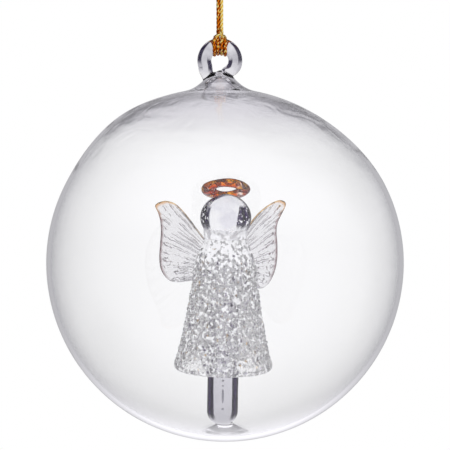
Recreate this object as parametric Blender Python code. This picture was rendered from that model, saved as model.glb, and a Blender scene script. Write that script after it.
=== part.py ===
# Glass ball ornament: a blown globe with a curled hanging ring, a clear glass
# angel standing on a peg inside it, and a loop of gold cord hitched to the ring.
# The origin is the centre of the cord's eye, where a hook carries the ornament.
import math

import bmesh
import bpy
from mathutils import Vector

MM = 0.001

# Globe
BALL_RADIUS = 40.0 * MM
CROWN_RISE = 39.2 * MM  # the upper half is a little flatter than the lower one
WALL = 1.0 * MM
NECK_RADIUS = 3.6 * MM
NECK_BORE_RADIUS = 2.0 * MM
NECK_FILLET = 2.0 * MM
NECK_LAND = 0.25 * MM  # straight collar above the fillet
NECK_OFFSET = 1.15 * MM  # the neck was drawn off the globe's axis
NECK_LEAN_START = 18.0 * MM  # above the globe's centre

# Hanging ring and the bead that closes the neck
RING_RADIUS = 3.47 * MM  # to the middle of the rod
RING_ROD_RADIUS = 1.40 * MM
RING_RISE = 4.10 * MM  # ring centre above the neck's top
RING_FOOT_X = 2.70 * MM
RING_FOOT_RADIUS = 0.88 * MM
RING_TIP_RADIUS = 3.05 * MM  # the curl draws in towards its tip
RING_TIP_END_RADIUS = 0.80 * MM
BEAD_RADIUS = 1.25 * MM
BEAD_RISE = 1.75 * MM
BEAD_PLUG_LENGTH = 2.60 * MM

# Figure, measured up from the tip of its peg
FIGURE_LEAN = math.radians(1.0)
FIGURE_YAW = math.radians(4.0)
SEAL_RADIUS = 8.5 * MM
SEAL_EDGE = 0.40 * MM
SEAL_FLOOR = 1.10 * MM  # glass under the peg's tip
SEAL_RIM_RISE = 2.60 * MM  # rim above the peg's tip
SEAL_RIM_WIDTH = 0.60 * MM
PEG_RADIUS = 3.50 * MM
PEG_TIP_ROUND = 2.30 * MM
PEG_LENGTH = 38.4 * MM
ROBE_HEIGHT = 25.4 * MM
ROBE_TOP_RADIUS = 5.7 * MM
ROBE_CHEST_RADIUS = 7.2 * MM
ROBE_CHEST_DROP = 4.3 * MM
ROBE_HEM_RADIUS = 11.3 * MM
ROBE_WALL = 1.6 * MM
BODICE_HEIGHT = 4.2 * MM
BODICE_BASE_RADIUS = 5.3 * MM
BODICE_TOP_RADIUS = 3.9 * MM
HEAD_RADIUS = 5.7 * MM
HEAD_HALF_HEIGHT = 5.0 * MM
HEAD_SEAT_RADIUS = 2.8 * MM
HALO_RADIUS = 4.07 * MM  # to the middle of its section
HALO_HALF_WIDTH = 1.40 * MM
HALO_HALF_THICKNESS = 0.76 * MM
HALO_TILT = math.radians(26.0)  # its back rim rests on the crown and its front stands up
HALO_SET_BACK = 0.90 * MM

# Wings, in the plane of each leaf: span from the spine, height from the robe's top
WING_SWEEP = math.radians(20.0)
WING_THICKNESS = 1.30 * MM
WING_EDGE_ROUND = 0.30 * MM
WING_ROOT_SPAN = 0.9 * MM
WING_ROOT_TOP = 0.4 * MM
WING_ROOT_BOTTOM = -5.2 * MM
WING_SHOULDER_SPAN = 6.6 * MM
WING_SHOULDER_TOP = 5.6 * MM
WING_CREST_SPAN = 13.6 * MM
WING_CREST_TOP = 11.7 * MM
WING_TIP_SPAN = 16.6 * MM
WING_TIP_TOP = 10.6 * MM
WING_WAIST_SPAN = 15.1 * MM
WING_WAIST_TOP = 4.6 * MM
WING_LOBE_SPAN = 15.3 * MM
WING_LOBE_TOP = -3.6 * MM
WING_LOW_SPAN = 12.0 * MM
WING_LOW_TOP = -7.2 * MM

# Cord
CORD_DIAMETER = 0.85 * MM
STRAND_LENGTH = 34.0 * MM  # eye centre to the throat of the hitch
STRAND_SPACING = 1.28 * MM  # between the two strands at the throat
EYE_LENGTH = 8.0 * MM  # from the eye's centre down to where the strands may twist
EYE_RADIUS = 0.70 * MM  # room for the hook's wire
EYE_TOP = 1.70 * MM
THROAT_RISE = 3.40 * MM  # throat above the ring rod's middle
HITCH_SPREAD = 2.04 * MM  # between the two legs in front of the ring
HITCH_BAR_Y = -0.90 * MM
HITCH_BAR_RISE = 2.40 * MM
HITCH_LEAVE_ANGLE = math.radians(300.0)  # where a leg lifts off the ring's front
KNOT_RADIUS = 1.35 * MM
KNOT_HEIGHT = 2.80 * MM
TAIL_LENGTH = 6.0 * MM
TAIL_SPREAD = 2.60 * MM  # between the tips of the two tails
CORD_END_TAPER = 0.60  # share of the radius left at an end that pivots
LOOP_POINTS = 24  # points in a full turn round the ring

# Clearances
SEAT_GAP = 0.30 * MM
CORD_GAP = 0.28 * MM  # between the hitch and the ring
PIVOT_GAP = 0.22 * MM  # half the gap between a strand and the hitch

# Facets
TURN_STEPS = 40
BALL_STEPS = 48


def smoothstep(share):
    share = min(1.0, max(0.0, share))
    return share * share * (3.0 - 2.0 * share)


def lerp(low, high, share):
    return low + (high - low) * share


def arc(centre, radius, start, end, steps):
    """Points (r, z) of an arc in the half plane of a turned profile, angles from +r."""
    points = []
    for i in range(steps + 1):
        angle = math.radians(lerp(start, end, i / steps))
        points.append((centre[0] + radius * math.cos(angle), centre[1] + radius * math.sin(angle)))
    return points


def material(name, colour, roughness, metallic=0.0, transmission=0.0):
    made = bpy.data.materials.new(name)
    made.use_nodes = True
    shader = made.node_tree.nodes["Principled BSDF"]
    shader.inputs["Base Color"].default_value = (*colour, 1.0)
    shader.inputs["Roughness"].default_value = roughness
    shader.inputs["Metallic"].default_value = metallic
    shader.inputs["Transmission Weight"].default_value = transmission
    shader.inputs["IOR"].default_value = 1.47
    return made


def clear_glass(name):
    return material(name, (0.96, 0.97, 0.98), 0.02, transmission=1.0)


def gold_cord(name):
    return material(name, (0.72, 0.43, 0.08), 0.30, metallic=0.9)


def add_empty(name, location, rotation=(0.0, 0.0, 0.0), parent=None):
    empty = bpy.data.objects.new(name, None)
    bpy.context.scene.collection.objects.link(empty)
    empty.location = location
    empty.rotation_euler = rotation
    empty.parent = parent
    return empty


def add_object(name, data, finish, location=(0.0, 0.0, 0.0), rotation=(0.0, 0.0, 0.0), parent=None):
    data.materials.append(finish)
    made = bpy.data.objects.new(name, data)
    bpy.context.scene.collection.objects.link(made)
    made.location = location
    made.rotation_euler = rotation
    made.parent = parent
    return made


def turned_mesh(name, profile, steps=TURN_STEPS):
    """A solid turned about Z from a profile whose two ends lie on the axis."""
    build = bmesh.new()
    verts = [build.verts.new((r, 0.0, z)) for r, z in profile]
    edges = [build.edges.new(pair) for pair in zip(verts, verts[1:])]
    bmesh.ops.spin(
        build,
        geom=verts + edges,
        cent=(0.0, 0.0, 0.0),
        axis=(0.0, 0.0, 1.0),
        angle=2.0 * math.pi,
        steps=steps,
        use_merge=True,
    )
    bmesh.ops.remove_doubles(build, verts=build.verts, dist=1e-7)
    bmesh.ops.dissolve_degenerate(build, edges=build.edges, dist=1e-7)
    bmesh.ops.recalc_face_normals(build, faces=build.faces)
    mesh = bpy.data.meshes.new(name)
    build.to_mesh(mesh)
    build.free()
    mesh.shade_smooth()
    mesh.set_sharp_from_angle(angle=math.radians(40.0))
    return mesh


def tube_curve(name, points, diameter, shares=None, bevel_resolution=2):
    """A round tube along the points; shares scale its radius point by point."""
    curve = bpy.data.curves.new(name, "CURVE")
    curve.dimensions = "3D"
    curve.bevel_depth = diameter / 2.0
    curve.bevel_resolution = bevel_resolution
    curve.use_fill_caps = True
    spline = curve.splines.new("POLY")
    spline.points.add(len(points) - 1)
    for i, place in enumerate(points):
        spline.points[i].co = (*place, 1.0)
        if shares:
            spline.points[i].radius = shares[i]
    return curve


# Heights down the hanging line, from the hook at the origin
CORD_RADIUS = CORD_DIAMETER / 2.0
throat_z = -STRAND_LENGTH
rod_top_z = throat_z - THROAT_RISE
ring_z = rod_top_z - RING_RADIUS
neck_top_z = ring_z - RING_RISE


def crown_tangent():
    """Where the neck's fillet leaves the crown: radius, height and slope angle there."""
    radius = NECK_RADIUS + NECK_FILLET
    for _ in range(30):
        steepness = CROWN_RISE / BALL_RADIUS * radius / math.sqrt(BALL_RADIUS**2 - radius**2)
        slope = math.atan(steepness)
        radius = NECK_RADIUS + NECK_FILLET * (1.0 - math.sin(slope))
    height = CROWN_RISE * math.sqrt(1.0 - (radius / BALL_RADIUS) ** 2)
    return radius, height, slope


crown_radius, crown_height, crown_slope = crown_tangent()
fillet_height = crown_height + NECK_FILLET * math.cos(crown_slope)
neck_height = fillet_height + NECK_LAND
ball_z = neck_top_z - neck_height
inner_radius = BALL_RADIUS - WALL
inner_rise = CROWN_RISE - WALL


def globe_half(radius, rise, start, end, steps):
    """Points of the globe's section from one angle above the equator to another."""
    points = []
    for i in range(steps + 1):
        angle = lerp(start, end, i / steps)
        up = rise if angle > 0.0 else radius
        points.append((radius * math.cos(angle), up * math.sin(angle)))
    return points


def ball_profile():
    bottom = -math.pi / 2.0
    outer_end = math.acos(crown_radius / BALL_RADIUS)
    inner_end = math.acos(NECK_BORE_RADIUS / inner_radius)
    profile = globe_half(BALL_RADIUS, BALL_RADIUS, bottom, 0.0, 13)
    profile += globe_half(BALL_RADIUS, CROWN_RISE, 0.0, outer_end, 12)[1:]
    fillet_centre = (NECK_RADIUS + NECK_FILLET, fillet_height)
    profile += arc(fillet_centre, NECK_FILLET, 270.0 - math.degrees(crown_slope), 180.0, 5)[1:]
    profile.append((NECK_RADIUS, neck_height))
    profile.append((NECK_BORE_RADIUS, neck_height))
    profile += globe_half(inner_radius, inner_rise, inner_end, 0.0, 12)
    profile += globe_half(inner_radius, inner_radius, 0.0, bottom, 13)[1:]
    profile[0] = (0.0, -BALL_RADIUS)
    profile[-1] = (0.0, -inner_radius)
    return profile


def make_ball(parent):
    mesh = turned_mesh("ball_shell", ball_profile(), BALL_STEPS)
    for vert in mesh.vertices:
        share = (vert.co.z - NECK_LEAN_START) / (CROWN_RISE - NECK_LEAN_START)
        vert.co.x -= NECK_OFFSET * smoothstep(share)
    add_object("ball_shell", mesh, clear_glass("globe_glass"), parent=parent)


def ring_path():
    """Middle line of the curled rod in the XZ plane, from its foot over the top to its tip."""
    foot_z = -RING_RISE + SEAT_GAP
    join = math.radians(198.0)
    join_point = (RING_RADIUS * math.cos(join), RING_RADIUS * math.sin(join))
    points = []
    shares = []
    leg_steps = 7
    for i in range(leg_steps):
        share = i / leg_steps
        x = lerp(-RING_FOOT_X, join_point[0], smoothstep(share))
        points.append((x, 0.0, lerp(foot_z, join_point[1], share)))
        shares.append(lerp(RING_FOOT_RADIUS / RING_ROD_RADIUS, 1.0, smoothstep(share)))
    tip = math.radians(-62.0)
    draw_in = math.radians(-15.0)
    loop_steps = 34
    for i in range(loop_steps + 1):
        angle = lerp(join, tip, i / loop_steps)
        inward = smoothstep((draw_in - angle) / (draw_in - tip))
        radius = lerp(RING_RADIUS, RING_TIP_RADIUS, inward)
        points.append((radius * math.cos(angle), 0.0, radius * math.sin(angle)))
        taper = smoothstep((i - loop_steps + 3) / 3.0)
        shares.append(lerp(1.0, RING_TIP_END_RADIUS / RING_ROD_RADIUS, taper))
    return points, shares


def make_ring(parent):
    points, shares = ring_path()
    curve = tube_curve("hanging_ring", points, 2.0 * RING_ROD_RADIUS, shares, 4)
    add_object("hanging_ring", curve, clear_glass("ring_glass"), parent=parent)


def make_bead(parent):
    """The gather in the neck: a plug below the neck's top and a dome above it."""
    plug_radius = NECK_BORE_RADIUS - SEAT_GAP
    dome_centre = BEAD_RISE - BEAD_RADIUS
    profile = [(0.0, -BEAD_PLUG_LENGTH), (plug_radius, -BEAD_PLUG_LENGTH)]
    profile.append((plug_radius, 0.0))
    profile += arc((0.0, dome_centre), BEAD_RADIUS, 0.0, 90.0, 6)
    profile[-1] = (0.0, BEAD_RISE)
    mesh = turned_mesh("neck_bead", profile, 24)
    add_object("neck_bead", mesh, clear_glass("bead_glass"), (0.0, 0.0, neck_top_z), parent=parent)


# Heights of the figure, from the globe's centre
floor_seat = inner_radius - SEAT_GAP
peg_tip = -floor_seat + SEAL_FLOOR + SEAT_GAP
peg_top = peg_tip + PEG_LENGTH
bodice_base = peg_top + SEAT_GAP
head_seat = bodice_base + BODICE_HEIGHT + SEAT_GAP
head_centre = head_seat + HEAD_HALF_HEIGHT * math.sqrt(1.0 - (HEAD_SEAT_RADIUS / HEAD_RADIUS) ** 2)


def peg_end(radius, tip, rounding):
    """The peg's rounded tip, from the axis out to its side."""
    return [(0.0, tip)] + arc((radius - rounding, tip + rounding), rounding, 270.0, 360.0, 6)


def make_seal(parent):
    """The mound on the globe's floor, with a socket for the peg."""
    edge = math.acos(SEAL_RADIUS / floor_seat)
    profile = globe_half(floor_seat, floor_seat, -math.pi / 2.0, -edge, 6)
    profile[0] = (0.0, -floor_seat)
    edge_top = profile[-1][1] + SEAL_EDGE
    socket_radius = PEG_RADIUS + SEAT_GAP
    rim_radius = socket_radius + SEAL_RIM_WIDTH
    rim_top = peg_tip + SEAL_RIM_RISE
    slope_steps = 7
    for i in range(slope_steps + 1):
        share = i / slope_steps
        radius = lerp(SEAL_RADIUS, rim_radius, share)
        profile.append((radius, lerp(edge_top, rim_top, share**2.2)))
    socket = peg_end(socket_radius, peg_tip - SEAT_GAP, PEG_TIP_ROUND + SEAT_GAP)
    profile.append((socket_radius, rim_top))
    profile += socket[::-1]
    mesh = turned_mesh("base_seal", profile)
    add_object("base_seal", mesh, clear_glass("seal_glass"), parent=parent)


def make_peg(parent):
    profile = peg_end(PEG_RADIUS, peg_tip, PEG_TIP_ROUND)
    profile += [(PEG_RADIUS, peg_top), (0.0, peg_top)]
    mesh = turned_mesh("peg", profile, 32)
    add_object("peg", mesh, clear_glass("peg_glass"), parent=parent)


def robe_radius(drop):
    """Outer radius of the robe at a drop below its top."""
    if drop < ROBE_CHEST_DROP:
        share = drop / ROBE_CHEST_DROP
        return lerp(ROBE_TOP_RADIUS, ROBE_CHEST_RADIUS, math.sin(share * math.pi / 2.0))
    share = (drop - ROBE_CHEST_DROP) / (ROBE_HEIGHT - ROBE_CHEST_DROP)
    return lerp(ROBE_CHEST_RADIUS, ROBE_HEM_RADIUS, share**1.2)


def make_robe(parent):
    """A bell over the peg: closed round the peg at the top, open at the hem."""
    bore = PEG_RADIUS + SEAT_GAP
    lip = ROBE_WALL / 2.0
    side_steps = 14
    outer = []
    for i in range(side_steps + 1):
        drop = (ROBE_HEIGHT - lip) * i / side_steps
        outer.append((robe_radius(drop), -drop))
    lip_centre = (outer[-1][0] - lip, outer[-1][1])
    rounded = arc(lip_centre, lip, 0.0, -180.0, 6)[1:]
    inner = []
    for r, z in outer[-2::-1]:
        inner.append((max(r - ROBE_WALL, bore), z))
    loop = outer + rounded + inner
    build = bmesh.new()
    verts = []
    for r, z in loop:
        if not verts or (verts[-1].co - Vector((r, 0.0, z))).length > 1e-7:
            verts.append(build.verts.new((r, 0.0, z)))
    edges = [build.edges.new(pair) for pair in zip(verts, verts[1:] + verts[:1])]
    bmesh.ops.spin(
        build,
        geom=verts + edges,
        cent=(0.0, 0.0, 0.0),
        axis=(0.0, 0.0, 1.0),
        angle=2.0 * math.pi,
        steps=TURN_STEPS,
        use_merge=True,
    )
    bmesh.ops.remove_doubles(build, verts=build.verts, dist=1e-7)
    bmesh.ops.recalc_face_normals(build, faces=build.faces)
    mesh = bpy.data.meshes.new("robe")
    build.to_mesh(mesh)
    build.free()
    mesh.shade_smooth()
    mesh.set_sharp_from_angle(angle=math.radians(40.0))
    finish = material("robe_glass", (0.90, 0.90, 0.92), 0.12, transmission=1.0)
    add_object("robe", mesh, finish, (0.0, 0.0, peg_top), parent=parent)


def make_bodice(parent):
    profile = [(0.0, 0.0)]
    steps = 8
    for i in range(steps + 1):
        share = i / steps
        radius = lerp(BODICE_BASE_RADIUS, BODICE_TOP_RADIUS, smoothstep(share))
        profile.append((radius, BODICE_HEIGHT * share))
    profile.append((0.0, BODICE_HEIGHT))
    mesh = turned_mesh("bodice", profile)
    add_object("bodice", mesh, clear_glass("bodice_glass"), (0.0, 0.0, bodice_base), parent=parent)


def make_head(parent):
    seat_angle = -math.acos(HEAD_SEAT_RADIUS / HEAD_RADIUS)
    profile = [(0.0, HEAD_HALF_HEIGHT * math.sin(seat_angle))]
    steps = 16
    for i in range(steps + 1):
        angle = lerp(seat_angle, math.pi / 2.0, i / steps)
        profile.append((HEAD_RADIUS * math.cos(angle), HEAD_HALF_HEIGHT * math.sin(angle)))
    profile[-1] = (0.0, HEAD_HALF_HEIGHT)
    mesh = turned_mesh("head", profile, 32)
    add_object("head", mesh, clear_glass("head_glass"), (0.0, 0.0, head_centre), parent=parent)


def halo_points(ring_steps, section_steps):
    """Rows of points round the flattened, tilted ring, about the head's axis."""
    tilt_cos, tilt_sin = math.cos(HALO_TILT), math.sin(HALO_TILT)
    rows = []
    for i in range(ring_steps):
        around = 2.0 * math.pi * i / ring_steps
        row = []
        for j in range(section_steps):
            angle = 2.0 * math.pi * j / section_steps
            radius = HALO_RADIUS + HALO_HALF_WIDTH * math.cos(angle)
            up = HALO_HALF_THICKNESS * math.sin(angle)
            x, y = radius * math.cos(around), radius * math.sin(around)
            back = HALO_SET_BACK + y * tilt_cos + up * tilt_sin
            row.append(Vector((x, back, up * tilt_cos - y * tilt_sin)))
        rows.append(row)
    return rows


def make_halo(parent):
    rows = halo_points(36, 12)
    lift = 0.0
    for row in rows:
        for place in row:
            reach = (place.x**2 + place.y**2) / HEAD_RADIUS**2
            if reach < 1.0:
                lift = max(lift, HEAD_HALF_HEIGHT * math.sqrt(1.0 - reach) - place.z)
    build = bmesh.new()
    loops = [[build.verts.new(place) for place in row] for row in rows]
    for first, second in zip(loops, loops[1:] + loops[:1]):
        for j in range(len(first)):
            k = (j + 1) % len(first)
            build.faces.new((first[j], second[j], second[k], first[k]))
    bmesh.ops.recalc_face_normals(build, faces=build.faces)
    mesh = bpy.data.meshes.new("halo")
    build.to_mesh(mesh)
    build.free()
    mesh.shade_smooth()
    finish = material("halo_lustre", (0.62, 0.25, 0.05), 0.08, metallic=0.3, transmission=0.6)
    seat = (0.0, 0.0, head_centre + lift + SEAT_GAP)
    add_object("halo", mesh, finish, seat, parent=parent)


def make_wing(name, side, parent):
    """One leaf: a flat outline with a rounded rim, swept back from the spine."""
    outline = [
        (WING_ROOT_SPAN, WING_ROOT_BOTTOM, "VECTOR"),
        (WING_ROOT_SPAN, WING_ROOT_TOP, "VECTOR"),
        (WING_SHOULDER_SPAN, WING_SHOULDER_TOP, "AUTO"),
        (WING_CREST_SPAN, WING_CREST_TOP, "AUTO"),
        (WING_TIP_SPAN, WING_TIP_TOP, "VECTOR"),
        (WING_WAIST_SPAN, WING_WAIST_TOP, "AUTO"),
        (WING_LOBE_SPAN, WING_LOBE_TOP, "AUTO"),
        (WING_LOW_SPAN, WING_LOW_TOP, "AUTO"),
    ]
    curve = bpy.data.curves.new(name, "CURVE")
    curve.dimensions = "2D"
    curve.fill_mode = "BOTH"
    curve.resolution_u = 6
    curve.extrude = WING_THICKNESS / 2.0 - WING_EDGE_ROUND
    curve.bevel_depth = WING_EDGE_ROUND
    curve.bevel_resolution = 1
    spline = curve.splines.new("BEZIER")
    spline.use_cyclic_u = True
    spline.bezier_points.add(len(outline) - 1)
    for point, (span, top, handle) in zip(spline.bezier_points, outline):
        point.co = (side * span, top, 0.0)
        point.handle_left_type = handle
        point.handle_right_type = handle
    widest = robe_radius(-WING_ROOT_BOTTOM + WING_EDGE_ROUND)
    spine = widest + SEAT_GAP + WING_THICKNESS / 2.0 / math.cos(WING_SWEEP)
    finish = material(name + "_glass", (0.95, 0.94, 0.93), 0.06, transmission=1.0)
    turn = (math.pi / 2.0, 0.0, side * WING_SWEEP)
    add_object(name, curve, finish, (0.0, spine, peg_top), turn, parent)


def strand_x(z):
    """Distance of a strand from the hanging line at a height below the eye's centre."""
    return lerp(EYE_RADIUS + CORD_RADIUS, STRAND_SPACING / 2.0, -z / STRAND_LENGTH)


def hitch_half():
    """Right half of the hitch about the throat: down behind the ring, under it,
    up its front and along half of the bar that holds the strands."""
    wrap = RING_ROD_RADIUS + CORD_GAP + CORD_RADIUS
    back, front = STRAND_SPACING / 2.0, HITCH_SPREAD / 2.0
    start = math.acos(wrap / THROAT_RISE)
    points = []
    straight_steps = 4
    for i in range(straight_steps):
        share = i / straight_steps
        y = lerp(0.0, wrap * math.sin(start), share)
        z = lerp(THROAT_RISE - PIVOT_GAP, wrap * math.cos(start), share)
        points.append((back, y, z))
    wrap_steps = round(LOOP_POINTS * (HITCH_LEAVE_ANGLE - start) / (2.0 * math.pi))
    for i in range(wrap_steps + 1):
        share = i / wrap_steps
        angle = lerp(start, HITCH_LEAVE_ANGLE, share)
        x = lerp(back, front, share)
        sink = RING_RADIUS - math.sqrt(RING_RADIUS**2 - x**2)
        points.append((x, wrap * math.sin(angle), wrap * math.cos(angle) - sink))
    leave = points[-1]
    bar_steps = 7
    for i in range(1, bar_steps + 1):
        turn = math.pi / 2.0 * i / bar_steps
        y = lerp(leave[1], HITCH_BAR_Y, math.sin(turn))
        z = lerp(leave[2], HITCH_BAR_RISE, math.sin(turn))
        points.append((leave[0] * math.cos(turn), y, z))
    return [Vector((x, y, z - THROAT_RISE)) for x, y, z in points]


def least_gap(points, diameter):
    """Smallest clear distance between stretches of a tube that aren't neighbours."""
    along = [0.0]
    for first, second in zip(points, points[1:]):
        along.append(along[-1] + (second - first).length)
    least = 1.0
    for i, first in enumerate(points):
        for j in range(i + 1, len(points)):
            if along[j] - along[i] > 3.0 * diameter:
                least = min(least, (points[j] - first).length - diameter)
    return least


def end_shares(count, at_start, at_end):
    shares = [1.0] * count
    if at_start:
        shares[0] = CORD_END_TAPER
    if at_end:
        shares[-1] = CORD_END_TAPER
    return shares


def make_hitch(parent):
    right = hitch_half()
    left = [Vector((-p.x, p.y, p.z)) for p in right[:-1]]
    points = left + right[::-1]
    print("cord_hitch least gap to itself, mm:", round(least_gap(points, CORD_DIAMETER) / MM, 3))
    shares = end_shares(len(points), True, True)
    curve = tube_curve("cord_hitch", points, CORD_DIAMETER, shares, 1)
    add_object("cord_hitch", curve, gold_cord("hitch_gold"), parent=parent)


def make_strand(name, side, parent):
    """One strand from the twisting point down to the throat, about the twisting point."""
    top = -EYE_LENGTH - SEAT_GAP / 2.0
    bottom = -STRAND_LENGTH + PIVOT_GAP + CORD_RADIUS * CORD_END_TAPER
    steps = 12
    points = []
    for i in range(steps + 1):
        z = lerp(top, bottom, i / steps)
        points.append((side * strand_x(z), 0.0, z + EYE_LENGTH))
    curve = tube_curve(name, points, CORD_DIAMETER, end_shares(len(points), False, True))
    add_object(name, curve, gold_cord(name + "_gold"), parent=parent)


def make_eye_half(name, side, parent):
    """One side of the loop's top: up from the twisting point, past the hook, to the knot."""
    bottom = -EYE_LENGTH + SEAT_GAP / 2.0
    steps = 4
    points = []
    for i in range(steps):
        z = lerp(bottom, 0.0, i / steps)
        points.append((side * strand_x(z), 0.0, z))
    for i in range(steps + 1):
        share = i / steps
        x = lerp(strand_x(0.0), STRAND_SPACING / 2.0, smoothstep(share))
        points.append((side * x, 0.0, EYE_TOP * share))
    curve = tube_curve(name, points, CORD_DIAMETER)
    add_object(name, curve, gold_cord(name + "_gold"), parent=parent)


def make_knot(parent):
    base = EYE_TOP + SEAT_GAP
    half = KNOT_HEIGHT / 2.0
    seat = KNOT_RADIUS * 0.80
    profile = [(0.0, base)]
    steps = 10
    start = -math.acos(seat / KNOT_RADIUS)
    for i in range(steps + 1):
        angle = lerp(start, -start, i / steps)
        z = base + half + half * math.sin(angle) / math.sin(-start)
        profile.append((KNOT_RADIUS * math.cos(angle), z))
    profile.append((0.0, base + KNOT_HEIGHT))
    mesh = turned_mesh("cord_knot", profile, 20)
    add_object("cord_knot", mesh, gold_cord("knot_gold"), parent=parent)


def make_tail(name, side, parent):
    base = EYE_TOP + KNOT_HEIGHT + 2.0 * SEAT_GAP
    steps = 4
    points = []
    for i in range(steps + 1):
        share = i / steps
        x = lerp(STRAND_SPACING / 2.0, TAIL_SPREAD / 2.0, share**1.6)
        points.append((side * x, 0.0, base + TAIL_LENGTH * share))
    curve = tube_curve(name, points, CORD_DIAMETER)
    add_object(name, curve, gold_cord(name + "_gold"), parent=parent)


def main():
    for old in list(bpy.data.objects):
        bpy.data.objects.remove(old, do_unlink=True)

    # Joint axes and centres
    hook = add_empty("hook_point", (0.0, 0.0, 0.0))
    twist = add_empty("twist_point", (0.0, 0.0, -EYE_LENGTH), parent=hook)
    throat = add_empty("throat_point", (0.0, 0.0, EYE_LENGTH + throat_z), parent=twist)
    ring = add_empty("ring_centre", (0.0, 0.0, ring_z - throat_z), parent=throat)
    neck = add_empty("hanging_line", (0.0, 0.0, -ring_z), parent=ring)
    ball = add_empty("ball_centre", (NECK_OFFSET, 0.0, ball_z - ring_z), parent=ring)
    figure = add_empty("figure_axis", (0.0, 0.0, 0.0), (0.0, FIGURE_LEAN, FIGURE_YAW), ball)

    # Glass
    make_ball(ball)
    make_ring(ring)
    make_bead(neck)
    make_seal(figure)
    make_peg(figure)
    make_robe(figure)
    make_bodice(figure)
    make_head(figure)
    make_halo(figure)
    make_wing("left_wing", -1.0, figure)
    make_wing("right_wing", 1.0, figure)

    # Cord
    make_hitch(throat)
    make_strand("cord_strand_left", -1.0, twist)
    make_strand("cord_strand_right", 1.0, twist)
    make_eye_half("cord_eye_left", -1.0, hook)
    make_eye_half("cord_eye_right", 1.0, hook)
    make_knot(hook)
    make_tail("cord_tail_left", -1.0, hook)
    make_tail("cord_tail_right", 1.0, hook)


main()
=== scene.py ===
import math

import bmesh
import bpy
import numpy as np
from mathutils import Euler, Matrix, Vector, noise


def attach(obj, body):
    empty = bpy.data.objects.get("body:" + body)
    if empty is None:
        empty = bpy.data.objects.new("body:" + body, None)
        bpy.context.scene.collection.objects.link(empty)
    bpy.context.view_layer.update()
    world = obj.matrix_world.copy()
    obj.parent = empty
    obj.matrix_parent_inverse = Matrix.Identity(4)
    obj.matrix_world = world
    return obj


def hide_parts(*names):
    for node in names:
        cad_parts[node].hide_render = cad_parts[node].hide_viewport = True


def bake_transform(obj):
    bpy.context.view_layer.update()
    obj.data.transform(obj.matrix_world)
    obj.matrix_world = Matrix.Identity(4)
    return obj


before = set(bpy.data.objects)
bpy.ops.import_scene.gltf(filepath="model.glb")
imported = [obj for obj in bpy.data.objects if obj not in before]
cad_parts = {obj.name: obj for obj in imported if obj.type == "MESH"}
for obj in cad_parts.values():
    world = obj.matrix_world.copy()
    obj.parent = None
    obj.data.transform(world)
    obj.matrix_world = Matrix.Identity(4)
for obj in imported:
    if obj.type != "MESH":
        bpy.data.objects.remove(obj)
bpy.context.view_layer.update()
scene = bpy.context.scene
mm = 0.001
print("frame loaded,", len(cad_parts), "nodes")

# heights down the hanging line and the globe's centre, in mm
line = {"throat": -34.0, "rodTop": -37.4, "ringMid": -40.87}
ball = {"x": 1.15, "z": -86.052}


def mixed(low, high, share):
    return low + (high - low) * share


def eased(share):
    share = min(1.0, max(0.0, share))
    return share * share * (3.0 - 2.0 * share)


def onTurn(k, count):
    return 2.0 * math.pi * k / count


# camera at the photo's angle

cameraSet = {"distance": 350.0, "elevation": 5.0, "aimUp": 8.45, "pixel": 0.2247, "frame": 450,
             "sensor": 36.0, "near": 0.01}


def addObject(name, data):
    made = bpy.data.objects.new(name, data)
    scene.collection.objects.link(made)
    return made


def placeCamera():
    aim = Vector((ball["x"], 0.0, ball["z"] + cameraSet["aimUp"])) * mm
    tilt = math.radians(cameraSet["elevation"])
    back = Vector((0.0, -math.cos(tilt), math.sin(tilt)))
    data = bpy.data.cameras.new("photoCamera")
    data.sensor_width = cameraSet["sensor"]
    data.lens = cameraSet["sensor"] * cameraSet["distance"] / (cameraSet["pixel"] * cameraSet["frame"])
    data.clip_start = cameraSet["near"]
    camera = addObject("photoCamera", data)
    camera.location = aim + back * cameraSet["distance"] * mm
    camera.rotation_euler = (-back).to_track_quat("-Z", "Y").to_euler()
    scene.camera = camera


placeCamera()
print("camera placed")


# mesh helpers

def addPiece(name, verts, faces, finish):
    mesh = bpy.data.meshes.new(name)
    mesh.from_pydata([tuple(v) for v in verts], [], faces)
    mesh.validate()
    mesh.shade_smooth()
    mesh.materials.append(finish)
    return addObject(name, mesh)


def growSkin(build, verts, faces):
    made = [build.verts.new(v) for v in verts]
    return [build.faces.new([made[i] for i in face]) for face in faces]


def storeShares(piece, **shares):
    # one value for each point, which the finish reads by name
    for label, values in shares.items():
        layer = piece.data.attributes.new(label, "FLOAT", "POINT")
        layer.data.foreach_set("value", np.array(values, np.float32))


def turnedGrid(profile, turns):
    # one row of points for each profile point, a single point where it meets the axis
    rows, verts = [], []
    for r, z in profile:
        if r < 1e-6:
            rows.append([len(verts)])
            verts.append((0.0, 0.0, z))
            continue
        start = len(verts)
        for k in range(turns):
            angle = onTurn(k, turns)
            verts.append((r * math.cos(angle), r * math.sin(angle), z))
        rows.append(list(range(start, start + turns)))
    return verts, rows


def rowFaces(rows, closed=False):
    faces = []
    pairs = list(zip(rows, rows[1:]))
    if closed:
        pairs.append((rows[-1], rows[0]))
    for low, high in pairs:
        count = max(len(low), len(high))
        for k in range(count):
            n = (k + 1) % count
            if len(low) == 1:
                faces.append((low[0], high[n], high[k]))
            elif len(high) == 1:
                faces.append((low[k], low[n], high[0]))
            else:
                faces.append((low[k], low[n], high[n], high[k]))
    return faces


def faceOut(piece, weld=0.0):
    build = bmesh.new()
    build.from_mesh(piece.data)
    if weld:
        bmesh.ops.remove_doubles(build, verts=build.verts, dist=weld)
    bmesh.ops.recalc_face_normals(build, faces=build.faces)
    build.to_mesh(piece.data)
    build.free()


def arcPoints(centre, radius, start, end, steps):
    points = []
    for i in range(steps + 1):
        angle = math.radians(mixed(start, end, i / steps))
        points.append((centre[0] + radius * math.cos(angle), centre[1] + radius * math.sin(angle)))
    return points


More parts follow.
